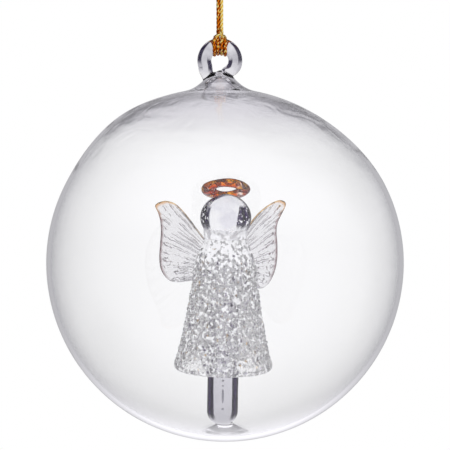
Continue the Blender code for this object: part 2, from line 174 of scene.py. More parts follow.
def smoothPath(points, spacing):
    # an even walk along a Catmull-Rom curve through the points
    pts = [Vector(p) for p in points]
    ends = [2 * pts[0] - pts[1]] + pts + [2 * pts[-1] - pts[-2]]
    dense = []
    for a, b, c, d in zip(ends, ends[1:], ends[2:], ends[3:]):
        for i in range(24):
            t = i / 24.0
            dense.append(0.5 * (2 * b + (c - a) * t + (2 * a - 5 * b + 4 * c - d) * t * t
                                + (3 * b - a - 3 * c + d) * t ** 3))
    dense.append(pts[-1])
    walk = np.array([tuple(p) for p in dense])
    along = np.concatenate([[0.0], np.cumsum(np.linalg.norm(np.diff(walk, axis=0), axis=1))])
    count = max(8, int(round(along[-1] / spacing)))
    marks = np.linspace(0.0, along[-1], count + 1)
    return np.stack([np.interp(marks, along, walk[:, k]) for k in range(3)], axis=1), marks


def pathFrames(path):
    # two sideways directions at every point, carried along without twist
    tangents = np.gradient(path, axis=0)
    tangents /= np.linalg.norm(tangents, axis=1)[:, None]
    side = np.cross(tangents[0], (0.0, 1.0, 0.0))
    if np.linalg.norm(side) < 0.2:
        side = np.cross(tangents[0], (1.0, 0.0, 0.0))
    sides, ups = [], []
    for tangent in tangents:
        side = side - tangent * np.dot(side, tangent)
        side = side / np.linalg.norm(side)
        sides.append(side)
        ups.append(np.cross(tangent, side))
    return np.array(sides), np.array(ups)


def tubeSkin(path, ring, reachAt):
    # a capped round skin along a path, its radius from reachAt
    sides, ups = pathFrames(path)
    verts, rows = [], []
    for i, centre in enumerate(path):
        rows.append(list(range(len(verts), len(verts) + ring)))
        for k in range(ring):
            angle = onTurn(k, ring)
            out = sides[i] * math.cos(angle) + ups[i] * math.sin(angle)
            verts.append(centre + out * reachAt(i, angle))
    return verts, rowFaces(rows) + [tuple(rows[0]), tuple(reversed(rows[-1]))]


# finishes

def newFinish(name):
    finish = bpy.data.materials.new(name)
    finish.use_nodes = True
    tree = finish.node_tree
    return finish, tree, tree.nodes["Principled BSDF"]


def addNode(tree, kind, **values):
    made = tree.nodes.new(kind)
    for key, value in values.items():
        if key in made.inputs:
            made.inputs[key].default_value = value
        else:
            setattr(made, key, value)
    return made


def feed(tree, socket, value):
    # a number or a colour is set, anything else is linked
    if isinstance(value, (int, float)):
        socket.default_value = value
    elif isinstance(value, tuple):
        socket.default_value = (*value, 1.0)
    else:
        tree.links.new(value, socket)


def addRamp(tree, value, stops):
    ramp = tree.nodes.new("ShaderNodeValToRGB")
    items = ramp.color_ramp.elements
    items[0].position, items[0].color = stops[0][0], (*stops[0][1], 1.0)
    items[1].position, items[1].color = stops[-1][0], (*stops[-1][1], 1.0)
    for place, colour in stops[1:-1]:
        items.new(place).color = (*colour, 1.0)
    tree.links.new(value, ramp.inputs["Fac"])
    return ramp.outputs["Color"]


def sumUp(tree, operation, first, second=0.0):
    made = addNode(tree, "ShaderNodeMath", operation=operation)
    for socket, value in zip(made.inputs, (first, second)):
        feed(tree, socket, value)
    return made.outputs["Value"]


def times(tree, first, second):
    return sumUp(tree, "MULTIPLY", first, second)


def blendColour(tree, share, first, second, kind="MIX"):
    made = addNode(tree, "ShaderNodeMixRGB", blend_type=kind)
    for socket, value in zip(made.inputs, (share, first, second)):
        feed(tree, socket, value)
    return made.outputs["Color"]


def grainOf(tree, scale, detail, **values):
    # soft random grain, fixed to the piece
    place = addNode(tree, "ShaderNodeTexCoord")
    made = addNode(tree, "ShaderNodeTexNoise", Scale=scale, Detail=detail, **values)
    tree.links.new(place.outputs["Object"], made.inputs["Vector"])
    return made.outputs["Fac"]


def axesOf(tree, vector):
    parts = addNode(tree, "ShaderNodeSeparateXYZ")
    tree.links.new(vector, parts.inputs["Vector"])
    return [parts.outputs[label] for label in "XYZ"]


def readShare(tree, label):
    return addNode(tree, "ShaderNodeAttribute", attribute_name=label).outputs["Fac"]


def addBump(tree, shader, height, strength, distance):
    # laid over any bump that is there already
    bump = addNode(tree, "ShaderNodeBump", Strength=strength, Distance=distance)
    tree.links.new(height, bump.inputs["Height"])
    if shader.inputs["Normal"].is_linked:
        tree.links.new(shader.inputs["Normal"].links[0].from_socket, bump.inputs["Normal"])
    tree.links.new(bump.outputs["Normal"], shader.inputs["Normal"])


def fadeOver(tree, value, span, low=0.0, high=1.0):
    made = addNode(tree, "ShaderNodeMapRange", interpolation_type="SMOOTHSTEP")
    for socket, number in zip(("From Min", "From Max", "To Min", "To Max"), (*span, low, high)):
        made.inputs[socket].default_value = number
    tree.links.new(value, made.inputs["Value"])
    return made.outputs["Result"]


def clearGlass(name, clear, edge, edgeSpan, rippleScale, ripple):
    # clear body with painted shade where it turns away, and the faint ripples of flame-worked glass
    finish, tree, shader = newFinish(name)
    shader.inputs["Roughness"].default_value = 0.0
    shader.inputs["IOR"].default_value = 1.48
    shader.inputs["Transmission Weight"].default_value = 1.0
    facing = addNode(tree, "ShaderNodeLayerWeight", Blend=0.5).outputs["Facing"]
    body = addRamp(tree, facing, [(edgeSpan[0], clear), (edgeSpan[1], edge)])
    feed(tree, shader.inputs["Base Color"], body)
    addBump(tree, shader, grainOf(tree, rippleScale, 2.0, Roughness=0.45), ripple, 0.0004)
    return finish, tree, shader, body


threadSet = {
    "metal": 0.94, "gloss": 0.15, "fibreScale": 5200.0, "sparkScale": 1700.0, "spark": (0.55, 0.60),
    # deep is the gold in painted shade, bright the gold in painted light, and both are painted darker in the
    # grooves
    "deep": [(0.0, (0.05, 0.004, 0.001)), (0.45, (0.36, 0.058, 0.001)), (1.0, (0.80, 0.20, 0.004))],
    "bright": [(0.0, (0.42, 0.13, 0.004)), (0.45, (1.0, 0.62, 0.06)), (1.0, (1.0, 0.90, 0.36))],
    "shade": [(0.30, (0.35, 0.18, 0.08)), (0.62, (1.0, 1.0, 1.0))], "shadeShare": 0.55,
    "rough": (0.18, 0.42), "bump": 0.6, "bumpDepth": 0.00008,
}


def goldThread(name):
    # painted shade in the dark red-brown grooves between gold plies, painted light and shade from deep to
    # bright along the cord, with painted sparks of light
    s = threadSet
    finish, tree, shader = newFinish(name)
    shader.inputs["Metallic"].default_value = s["metal"]
    shader.inputs["Specular IOR Level"].default_value = s["gloss"]
    ply = readShare(tree, "ply")
    fibre = grainOf(tree, s["fibreScale"], 2.0, Roughness=0.6)
    paintedSparks = fadeOver(tree, grainOf(tree, s["sparkScale"], 1.0), s["spark"])
    # the level runs from painted shade to painted light, and the painted sparks lift it
    level = sumUp(tree, "MINIMUM", sumUp(tree, "ADD", readShare(tree, "tone"), paintedSparks), 1.0)
    gold = blendColour(tree, level, addRamp(tree, ply, s["deep"]), addRamp(tree, ply, s["bright"]))
    gold = blendColour(tree, s["shadeShare"], gold, addRamp(tree, fibre, s["shade"]), "MULTIPLY")
    feed(tree, shader.inputs["Base Color"], gold)
    rough = addNode(tree, "ShaderNodeMapRange")
    rough.inputs["To Min"].default_value, rough.inputs["To Max"].default_value = s["rough"]
    tree.links.new(fibre, rough.inputs["Value"])
    tree.links.new(rough.outputs["Result"], shader.inputs["Roughness"])
    addBump(tree, shader, fibre, s["bump"], s["bumpDepth"])
    return finish


# gold cord: three plies laid together, hitched to the ring with two turns a side

cordSet = {
    "diameter": 0.82, "plies": 3.0, "lay": 3.0, "groove": 0.30, "grooveBend": 2.2,
    "ring": 20, "spacing": 0.11,
    "throatX": 0.37, "eyeX": 1.12, "partZ": -25.0, "eyeLow": -1.0, "joinZ": -26.0,
    "tail": [(1.3, 0.0, 11.0), (1.05, 0.1, 9.0), (0.72, 0.05, 6.6), (0.5, 0.0, 4.8), (0.5, 0.0, 3.4),
             (0.58, 0.0, 2.2), (0.86, 0.0, 1.2), (1.08, 0.0, 0.2)],
    "wrapGap": 0.04, "rodRadius": 1.54, "ringRadius": 3.47, "throatRise": 3.40,
    "dropX": 0.42, "innerX": 0.40, "cheekX": 1.20, "turnEnd": 660.0, "crossFrom": 290.0, "crossOver": 120.0,
    "turnSteps": 34, "barY": -0.86, "barRise": 2.62,
    "paintedShadeLevel": 0.0, "paintedShineLevel": 1.0, "plainTone": 0.6, "paintedTurnShade": 0.0,
    "toneWide": 0.3, "plainOver": 12.0, "turnFrom": 2.6, "turnOver": 1.6,
}


def strandX(z):
    c = cordSet
    return mixed(c["throatX"], c["eyeX"], eased((z - c["partZ"]) / (c["eyeLow"] - c["partZ"])))


def hitchSide():
    # right half: from the join above the view down behind the rod, under it and up to the bar
    c = cordSet
    wrap = c["rodRadius"] + c["wrapGap"] + c["diameter"] / 2.0
    top = line["rodTop"]
    points = []
    for z in np.linspace(c["joinZ"], line["throat"] + 0.5, 5):
        points.append((strandX(z), 0.0, z))
    start = math.acos(wrap / c["throatRise"])
    half = mixed(top + c["throatRise"], top + wrap * math.cos(start), 0.5)
    points.append((c["dropX"], 0.5 * wrap * math.sin(start), half))
    # two turns round the rod: an inner one, then over its top and down again outside
    for i in range(c["turnSteps"] + 1):
        angle = mixed(start, math.radians(c["turnEnd"]), i / c["turnSteps"])
        x = mixed(c["innerX"], c["cheekX"], eased((math.degrees(angle) - c["crossFrom"]) / c["crossOver"]))
        sink = c["ringRadius"] - math.sqrt(c["ringRadius"] ** 2 - x * x)
        points.append((x, wrap * math.sin(angle), top + wrap * math.cos(angle) - sink))
    last = points[-1]
    for share in (0.4, 0.75, 1.0):
        points.append((last[0] * (1.0 - share), mixed(last[1], c["barY"], share ** 0.8),
                       mixed(last[2], top + c["barRise"], share ** 0.85)))
    return points


def strandSide():
    # right half: from its cut tail through the knot, past the hook, down to the join
    return cordSet["tail"] + [(strandX(z), 0.0, z) for z in np.linspace(-1.5, cordSet["joinZ"], 9)]


def paintedCordLight(x, z):
    # painted light and shade: the left strand is painted in shade, the right one painted shining, and the
    # turns round the ring are painted in deep shade
    c = cordSet
    strand = mixed(c["paintedShadeLevel"], c["paintedShineLevel"], eased(0.5 + x / c["toneWide"]))
    strand = mixed(strand, c["plainTone"], eased((z - c["joinZ"]) / c["plainOver"]))
    return mixed(c["paintedTurnShade"], strand, eased((z - line["throat"] + c["turnFrom"]) / c["turnOver"]))


def layCord(name, points, finish, thin=1.0):
    c = cordSet
    path, along = smoothPath([Vector(p) * mm for p in points], c["spacing"] * mm)
    radius = c["diameter"] * thin / 2.0 * mm
    plies = []

    def reachAt(i, angle):
        turn = 2.0 * math.pi * along[i] / (c["lay"] * mm)
        off = abs((c["plies"] * (angle - turn) / (2.0 * math.pi)) % 1.0 - 0.5) * 2.0
        dip = (1.0 - off) ** c["grooveBend"]
        plies.append(1.0 - dip)
        return radius * (1.0 - c["groove"] * dip)

    verts, faces = tubeSkin(path, c["ring"], reachAt)
    piece = addPiece(name, verts, faces, finish)
    faceOut(piece)
    tones = [paintedCordLight(centre[0] / mm, centre[2] / mm) for centre in path]
    storeShares(piece, ply=plies, tone=np.repeat(tones, c["ring"]))
    return piece, path, along[-1]


def mirrorX(points):
    return [(-x, y, z) for x, y, z in points]


goldFinish = goldThread("goldThread")
hitchRight = hitchSide()
hitchRoute = mirrorX(hitchRight)[:-1] + hitchRight[::-1]
hitchCord, hitchPath, hitchLength = layCord("hitchCord", hitchRoute, goldFinish)
leftCord, leftPath, leftLength = layCord("leftCord", mirrorX(strandSide()), goldFinish)
rightCord, rightPath, rightLength = layCord("rightCord", strandSide(), goldFinish)

knotSet = {"radius": 0.62, "spread": 2.2, "middle": 3.4, "tall": 0.95, "thin": 0.95, "points": 40}


def tieKnot():
    # an overhand knot pulled tight round both strands
    k = knotSet
    points = []
    for i in range(k["points"]):
        t = onTurn(i, k["points"])
        x = k["radius"] * (math.sin(t) + 2.0 * math.sin(2.0 * t)) / k["spread"]
        y = k["radius"] * (math.cos(t) - 2.0 * math.cos(2.0 * t)) / k["spread"]
        points.append((x, y, k["middle"] - k["tall"] * math.sin(3.0 * t)))
    return layCord("cordKnot", points + points[:1], goldFinish, k["thin"])[0]


cordKnot = tieKnot()
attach(cordKnot, "hang_loop")
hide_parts("cord_knot")
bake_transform(leftCord)
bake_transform(rightCord)
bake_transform(hitchCord)
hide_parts("cord_strand_left", "cord_eye_left", "cord_tail_left")
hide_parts("cord_strand_right", "cord_eye_right", "cord_tail_right")
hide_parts("cord_hitch")
print("cord laid, mm:", round(hitchLength / mm, 1), round(leftLength / mm, 1), round(rightLength / mm, 1))


# globe with its drawn neck, the mound on its floor and the curled ring, all one glass

globeSet = {
    "radius": 40.0, "crown": 39.2, "wall": 1.0, "neckFrom": 8.0, "innerFrom": 10.0,
    "turns": 160, "spacing": 0.25, "arcSteps": 70, "domeSteps": 72, "floorSteps": 60, "moundSteps": 16,
    "neck": [(6.9, 38.70), (5.9, 39.14), (5.1, 39.62), (4.4, 40.15), (3.8, 40.65), (3.3, 41.15), (2.9, 41.65),
             (2.5, 42.1), (1.8, 42.5), (0.9, 42.7), (0.0, 42.72)],
    "funnel": [(0.0, 41.2), (0.7, 41.1), (1.3, 40.8), (1.9, 40.35), (2.6, 39.8), (3.3, 39.25), (4.2, 38.7),
               (5.3, 38.2), (6.5, 37.82), (8.2, 37.37)],
    "offset": 1.15, "leanFrom": 18.0, "shoulder": 0.55, "shoulderAt": 23.0, "shoulderWide": 8.0,
    "moundRadius": 6.0, "moundRim": 1.75, "moundTop": -36.95, "moundBend": 2.6,
    "pegRadius": 3.5, "pegTip": -37.3, "pegRound": 3.2, "pegGap": 0.08,
    "wave": 0.04, "waveRise": (14.0, 12.0), "waveEnd": (33.0, 3.0),
    "waves": [(1.0, 0.16, 0.45), (0.5, 0.4, 0.9)],
}


def globeOutside():
    g = globeSet
    top = math.acos(g["neckFrom"] / g["radius"])
    profile = [(0.0, -g["radius"])]
    for i in range(1, g["arcSteps"] + 1):
        angle = mixed(-math.pi / 2.0, 0.0, i / g["arcSteps"])
        profile.append((g["radius"] * math.cos(angle), g["radius"] * math.sin(angle)))
    for i in range(1, g["arcSteps"] + 1):
        angle = mixed(0.0, top, i / g["arcSteps"])
        profile.append((g["radius"] * math.cos(angle), g["crown"] * math.sin(angle)))
    drawn, _ = smoothPath([(r, 0.0, z) for r, z in profile[-2:] + g["neck"]], g["spacing"])
    step = [p for p in drawn if p[0] < g["neckFrom"] - 0.1]
    profile += [(max(0.0, p[0]), p[2]) for p in step]
    profile[-1] = (0.0, g["neck"][-1][1])
    return profile


def globeInside():
    g = globeSet
    radius, crown = g["radius"] - g["wall"], g["crown"] - g["wall"]
    start = math.asin(g["innerFrom"] / radius)
    turns = np.linspace(start, math.pi / 2.0, g["domeSteps"])
    dome = [(radius * math.sin(a), crown * math.cos(a)) for a in turns]
    drawn, _ = smoothPath([(r, 0.0, z) for r, z in g["funnel"] + dome[:2]], g["spacing"])
    profile = [(max(0.0, p[0]), p[2]) for p in drawn if p[0] < g["innerFrom"] - 0.1] + dome
    profile[0] = (0.0, profile[0][1])
    edge = -math.acos(g["moundRadius"] / radius)
    for i in range(1, g["floorSteps"] + 1):
        angle = mixed(0.0, edge, i / g["floorSteps"])
        profile.append((radius * math.cos(angle), radius * math.sin(angle)))
    floor = profile[-1][1]
    for i in range(1, g["moundSteps"] + 1):
        share = i / g["moundSteps"]
        profile.append((mixed(g["moundRadius"], g["moundRim"], share),
                        mixed(floor, g["moundTop"], share ** g["moundBend"])))
    socket = g["pegRadius"] + g["pegGap"]
    rounding = g["pegRound"] + g["pegGap"]
    tip = g["pegTip"] - g["pegGap"]
    cup = arcPoints((socket - rounding, tip + rounding), rounding, 0.0, -90.0, 24)
    profile += [point for point in cup if point[1] < g["moundTop"] - 0.05]
    profile.append((0.0, tip))
    return profile


def leanNeck(x, y, z):
    # the neck was drawn a little to the left, and the left shoulder stands fuller
    g = globeSet
    share = eased((z - g["leanFrom"]) / (g["crown"] - g["leanFrom"]))
    r = math.hypot(x, y)
    if z > 0.0 and r > 1.0:
        left = max(0.0, -x / r)
        z += g["shoulder"] * left * left * math.exp(-((r - g["shoulderAt"]) / g["shoulderWide"]) ** 2)
    return x - g["offset"] * share, y, z


ringSet = {
    "radius": 3.45, "rod": 1.56, "foot": (-2.55, -4.5), "footRod": 1.2, "join": 200.0, "draw": -15.0,
    "tip": -58.0, "tipRadius": 3.1, "tipRod": 1.35, "bead": (0.35, -4.1), "beadRadius": 2.0,
    "stubFrom": 39.4, "stubWide": 5.2, "stubFlat": 40.1, "stubFlare": 0.05, "stubTurns": 72,
    "legSteps": 9, "curlSteps": 60, "ring": 28, "voxel": 0.10,
}


def ringLine():
    r = ringSet
    points, rods = [], []
    join, tip, draw = (math.radians(r[key]) for key in ("join", "tip", "draw"))
    meet = (r["radius"] * math.cos(join), r["radius"] * math.sin(join))
    for i in range(r["legSteps"]):
        share = i / r["legSteps"]
        points.append((mixed(r["foot"][0], meet[0], eased(share)), 0.0, mixed(r["foot"][1], meet[1], share)))
        rods.append(mixed(r["footRod"], r["rod"], eased(share * 1.2)))
    for i in range(r["curlSteps"] + 1):
        angle = mixed(join, tip, i / r["curlSteps"])
        inward = eased((draw - angle) / (draw - tip))
        reach = mixed(r["radius"], r["tipRadius"], inward)
        points.append((reach * math.cos(angle), 0.0, reach * math.sin(angle)))
        rods.append(mixed(r["rod"], r["tipRod"], inward))
    return np.array(points), rods


def ringSolid():
    # rod, bead, feet and the neck's top as overlapping rounds, melted together by a remesh
    r = ringSet
    path, rods = ringLine()
    verts, faces = tubeSkin(path, r["ring"], lambda i, angle: rods[i])
    build = bmesh.new()
    growSkin(build, [Vector(v) * mm for v in verts], faces)
    tip = (path[-1][0], path[-1][2])
    for place, radius in ((r["bead"], r["beadRadius"]), (r["foot"], r["footRod"]), (tip, rods[-1])):
        ballVerts = bmesh.ops.create_icosphere(build, subdivisions=4, radius=radius * mm)["verts"]
        bmesh.ops.translate(build, verts=ballVerts, vec=Vector((place[0], 0.0, place[1])) * mm)
    stub = [(0.0, r["stubFrom"])]
    for reach, z in globeOutside():
        if z > r["stubFrom"] and reach < r["stubWide"]:
            stub.append((reach + r["stubFlare"] * (z - r["stubFlat"]), z))
    stubVerts, stubRows = turnedGrid(stub, r["stubTurns"])
    drop = ball["z"] - line["ringMid"]
    growSkin(build, [Vector((x, y, z + drop)) * mm for x, y, z in stubVerts], rowFaces(stubRows))
    bmesh.ops.recalc_face_normals(build, faces=build.faces)
    mesh = bpy.data.meshes.new("ringSolid")
    build.to_mesh(mesh)
    build.free()
    solid = addObject("ringSolid", mesh)
    solid.location = (0.0, 0.0, line["ringMid"] * mm)
    remesh = solid.modifiers.new("melt", "REMESH")
    remesh.mode = "VOXEL"
    remesh.voxel_size = r["voxel"] * mm
    soften = solid.modifiers.new("soften", "SMOOTH")
    soften.factor = 0.5
    soften.iterations = 4
    return solid


def applyModifiers(piece):
    bpy.context.view_layer.update()
    graph = bpy.context.evaluated_depsgraph_get()
    mesh = bpy.data.meshes.new_from_object(piece.evaluated_get(graph))
    piece.modifiers.clear()
    piece.data = mesh


def setGlobe(point, inside):
    g = globeSet
    x, y, z = point
    if inside:
        # the inside keeps soft waves from the blowing, strongest under the crown
        (start, over), (end, fade) = g["waveRise"], g["waveEnd"]
        rise = eased((z - start) / over) * (1.0 - eased((z - end) / fade))
        wave = sum(size * noise.noise(Vector((x * flat, y * flat, z * tall)))
                   for size, flat, tall in g["waves"])
        push = 1.0 + g["wave"] * rise * wave / g["radius"]
        x, y, z = x * push, y * push, z * push
    x, y, z = leanNeck(x, y, z)
    return ((x + ball["x"]) * mm, y * mm, (z + ball["z"]) * mm)


def blowGlobe(finish):
    outVerts, outRows = turnedGrid(globeOutside(), globeSet["turns"])
    globe = addPiece("globe", [setGlobe(v, False) for v in outVerts], rowFaces(outRows), finish)
    solid = ringSolid()
    applyModifiers(solid)
    union = globe.modifiers.new("fuse", "BOOLEAN")
    union.operation = "UNION"
    union.solver = "EXACT"
    union.object = solid
    applyModifiers(globe)
    bpy.data.objects.remove(solid)
    # the hollow is a second closed skin that faces inwards
    inVerts, inRows = turnedGrid(globeInside(), globeSet["turns"])
    build = bmesh.new()
    build.from_mesh(globe.data)
    growSkin(build, [setGlobe(v, True) for v in inVerts], rowFaces(inRows))
    build.to_mesh(globe.data)
    build.free()
    globe.data.materials.clear()
    globe.data.materials.append(finish)
    globe.data.shade_smooth()
    return globe


wallSet = {
    "thick": (26.0, 38.0), "thickGrey": (0.84, 0.83, 0.86), "ring": (41.6, 43.2), "cloudScale": 310.0,
    "paintedRingShade": [(0.36, (0.42, 0.41, 0.46)), (0.60, (0.80, 0.79, 0.83))],
    "crown": (20.0, 33.0), "strokeScale": 95.0, "strokeBend": 1.4, "stroke": 0.07, "strokeDepth": 0.0012,
}


def globeFinish():
    s = wallSet
    finish, tree, shader, body = clearGlass("globeGlass", clear=(0.995, 0.995, 1.0), edge=(0.97, 0.97, 0.99),
                                            edgeSpan=(0.55, 0.95), rippleScale=45.0, ripple=0.03)
    height = axesOf(tree, addNode(tree, "ShaderNodeTexCoord").outputs["Object"])[2]
    thick, top, crown = (fadeOver(tree, height, [(ball["z"] + edge) * mm for edge in s[key]])
                         for key in ("thick", "ring", "crown"))
    # the wall thickens towards the neck and looks greyer there
    grey = blendColour(tree, thick, body, s["thickGrey"])
    # painted shade: the solid ring on top is painted greyer still, in soft patches
    paintedRingShade = addRamp(tree, grainOf(tree, s["cloudScale"], 2.0), s["paintedRingShade"])
    feed(tree, shader.inputs["Base Color"], blendColour(tree, top, grey, paintedRingShade))
    # wavy strokes in the crown, where the glass was drawn up to the neck
    strokes = grainOf(tree, s["strokeScale"], 2.0, Distortion=s["strokeBend"])
    addBump(tree, shader, times(tree, strokes, crown), s["stroke"], s["strokeDepth"])
    return finish


globeGlass = globeFinish()
globe = blowGlobe(globeGlass)
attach(globe, "ornament")
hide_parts("ball_shell", "hanging_ring", "neck_bead", "base_seal")
print("globe blown,", len(globe.data.polygons), "faces")


# the figure stands on the globe's axis with a slight lean and turn

figureSet = {"lean": 1.0, "yaw": 4.0}
figureTurn = Euler((0.0, math.radians(figureSet["lean"]), math.radians(figureSet["yaw"])))
figurePlace = Matrix.Translation(Vector((ball["x"], 0.0, ball["z"])) * mm) @ figureTurn.to_matrix().to_4x4()


def seatFigure(piece):
    piece.data.transform(figurePlace)
    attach(piece, "ornament")


coreSet = {
    "pegTip": -37.3, "pegRound": 3.2, "pegRadius": 3.5, "pegTop": 4.0,
    "bodice": [(3.5, 4.4), (3.55, 5.0), (3.8, 5.24), (4.35, 5.32), (4.72, 5.55), (4.86, 6.1), (4.93, 6.8)],
    "neckRadius": 4.95, "headZ": 10.1, "headRadius": 5.72, "headHigh": 5.25, "headLow": 5.0, "turns": 96,
    "bubbles": [(-26.8, 0.20, 0.22), (-28.0, 0.16, 0.18), (-30.4, 0.17, 1.7), (-33.4, 0.20, 0.26)],
    "strokeAt": (3.2, 2.6), "strokes": [(0.016, 7.0, 0.4), (0.010, 13.0, 1.7)], "wave": 0.05,
    "headFrom": (7.2, 1.6), "pegTo": (-14.0, 12.0), "pegFrom": (-36.0, 1.4),
    "frostFrom": (2.0, 2.0), "frostTo": (6.0, 3.0),
}


def coreProfile():
    c = coreSet
    profile = [(0.0, c["pegTip"])]
    tipCentre = (c["pegRadius"] - c["pegRound"], c["pegTip"] + c["pegRound"])
    profile += arcPoints(tipCentre, c["pegRound"], 270.0, 360.0, 12)
    for i in range(1, 41):
        profile.append((c["pegRadius"], mixed(c["pegTip"] + c["pegRound"], c["pegTop"], i / 40)))
    seat = math.acos(c["neckRadius"] / c["headRadius"])
    seatZ = c["headZ"] - c["headLow"] * math.sin(seat)
    drawn, _ = smoothPath([(r, 0.0, z) for r, z in c["bodice"] + [(c["neckRadius"], seatZ)]], 0.15)
    profile += [(p[0], p[2]) for p in drawn]
    for i in range(1, 49):
        angle = mixed(-seat, math.pi / 2.0, i / 48)
        half = c["headHigh"] if angle > 0.0 else c["headLow"]
        profile.append((c["headRadius"] * math.cos(angle), c["headZ"] + half * math.sin(angle)))
    profile[-1] = (0.0, c["headZ"] + c["headHigh"])
    return profile


def blowBubbles(core):
    # a drawn-out bubble and three round ones in the peg, as skins that face inwards
    build = bmesh.new()
    build.from_mesh(core.data)
    for z, radius, half in coreSet["bubbles"]:
        profile = [(radius * math.sin(a), z - half * math.cos(a)) for a in np.linspace(0.0, math.pi, 13)]
        profile[0], profile[-1] = (0.0, z - half), (0.0, z + half)
        verts, rows = turnedGrid(profile, 20)
        for face in growSkin(build, [Vector(v) * mm for v in verts], [f[::-1] for f in rowFaces(rows)]):
            face.smooth = True
    build.to_mesh(core.data)
    build.free()


def drawCore(finish):
    c = coreSet
    verts, rows = turnedGrid(coreProfile(), c["turns"])
    shaped = []
    middle, over = c["strokeAt"]
    for x, y, z in verts:
        angle = math.atan2(y, x)
        # the bodice keeps the vertical strokes of the tool that drew it
        stroke = sum(size * math.cos(count * angle + phase) for size, count, phase in c["strokes"])
        swell = 1.0 + math.exp(-((z - middle) / over) ** 2) * stroke
        wave = c["wave"] * noise.noise(Vector((x * 0.35, y * 0.35, z * 0.22)))
        push = swell * (1.0 + wave / max(math.hypot(x, y), 1.0))
        shaped.append((x * push * mm, y * push * mm, z * mm))
    core = addPiece("figureCore", shaped, rowFaces(rows), finish)
    faceOut(core)
    blowBubbles(core)

    def riseOver(key):
        start, span = c[key]
        return np.array([eased((v.co.z / mm - start) / span) for v in core.data.vertices])

    peg = 1.0 - riseOver("pegTo")
    storeShares(core, solid=riseOver("headFrom") + peg * riseOver("pegFrom"), peg=peg,
                frost=riseOver("frostFrom") * (1.0 - riseOver("frostTo")))
    return core


# colour is the painted shade down the sides of head and peg
bandSet = {
    "colour": (0.0020, 0.0006, 0.0080), "edge": (0.54, 0.58), "lopside": 0.20, "pegEdge": 0.06,
    "flat": (0.66, 0.50),
    "speckScale": 1500.0, "speck": (0.58, 0.64), "speckShare": 0.9, "pegGrey": (0.66, 0.65, 0.70),
    "hazeScale": 260.0, "haze": [(0.36, (0.80, 0.79, 0.85)), (0.52, (1.0, 1.0, 1.0))],
    "frostScale": 800.0, "frostGrain": (0.34, 0.58), "frostMilk": (0.35, 0.95),
    "frostWhite": (0.94, 0.94, 0.97), "frostRough": 0.10,
}


def coreFinish():
    s = bandSet
    finish, tree, shader, body = clearGlass("coreGlass", clear=(0.97, 0.97, 0.99), edge=(0.92, 0.92, 0.96),
                                            edgeSpan=(0.45, 0.95), rippleScale=240.0, ripple=0.10)
    # painted shade: head and peg are painted dark down their sides, where the solid glass turns away, more on
    # one side
    facing = addNode(tree, "ShaderNodeLayerWeight", Blend=0.5).outputs["Facing"]
    x, y, z = axesOf(tree, addNode(tree, "ShaderNodeNewGeometry").outputs["Normal"])
    pegPart = readShare(tree, "peg")
    toward = sumUp(tree, "SUBTRACT", 1.0, facing)
    away = sumUp(tree, "SUBTRACT", 1.0, times(tree, toward, toward))
    aside = sumUp(tree, "MAXIMUM", sumUp(tree, "SUBTRACT", away, times(tree, z, z)), 0.0)
    uneven = times(tree, x, fadeOver(tree, pegPart, (0.0, 1.0), s["lopside"], 0.0))
    uneven = sumUp(tree, "SUBTRACT", uneven, times(tree, pegPart, s["pegEdge"]))
    paintedSideShade = fadeOver(tree, sumUp(tree, "ADD", sumUp(tree, "SQRT", aside), uneven), s["edge"])
    paintedSideShade = times(tree, paintedSideShade, fadeOver(tree, sumUp(tree, "ABSOLUTE", z), s["flat"]))
    paintedSideShade = times(tree, paintedSideShade, readShare(tree, "solid"))
    haze = addRamp(tree, grainOf(tree, s["hazeScale"], 2.0, Roughness=0.55), s["haze"])
    colour = blendColour(tree, 1.0, body, haze, "MULTIPLY")
    colour = blendColour(tree, pegPart, colour, s["pegGrey"])
    colour = blendColour(tree, paintedSideShade, colour, s["colour"])
    # the bodice is frosted white, and white specks lie in the head's painted dark sides
    whiteSpecks = times(tree, paintedSideShade, fadeOver(tree, grainOf(tree, s["speckScale"], 1.0), s["speck"]))
    whiteSpecks = times(tree, whiteSpecks, fadeOver(tree, pegPart, (0.0, 0.5), s["speckShare"], 0.0))
    frost = readShare(tree, "frost")
    crust = fadeOver(tree, grainOf(tree, s["frostScale"], 1.0), s["frostGrain"], *s["frostMilk"])
    milk = sumUp(tree, "MAXIMUM", times(tree, frost, crust), whiteSpecks)
    feed(tree, shader.inputs["Base Color"], blendColour(tree, milk, colour, s["frostWhite"]))
    feed(tree, shader.inputs["Transmission Weight"], sumUp(tree, "SUBTRACT", 1.0, milk))
    feed(tree, shader.inputs["Roughness"], times(tree, frost, s["frostRough"]))
    return finish


coreGlass = coreFinish()
figureCore = drawCore(coreGlass)
seatFigure(figureCore)
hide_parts("peg", "bodice", "head")
print("figure core drawn")

robeSet = {
    "top": 5.42, "height": 29.72, "topRadius": 4.6, "chestRadius": 7.1, "chestDrop": 8.35, "hemRadius": 11.0,
    "roll": 0.40, "wall": 1.6, "bore": 3.75, "turns": 420, "rows": 210,
    "grain": 0.82, "chip": 0.50, "dome": 0.3, "tilt": 1.5, "innerChip": 0.7, "calm": (0.12, 0.2),
    "fold": 0.16, "folds": 11.0, "foldEnd": 16.0, "grainFrom": (3.0, 6.5), "grainTo": (3.4, 2.2),
    "tintScale": 950.0,
    "paintedGlints": [(0.20, (0.03, 0.02, 0.05)), (0.24, (0.55, 0.48, 0.70)), (0.28, (1.0, 1.0, 1.0)),
              (0.75, (1.0, 1.0, 1.0)), (0.80, (0.70, 0.42, 0.12))],
    "shoulder": (0.5, 8.0), "shoulderFrost": 0.18, "whiteScale": 1300.0, "whiteGrain": (0.48, 0.66),
    "milk": (0.12, 0.95), "white": (0.95, 0.95, 0.97),
}


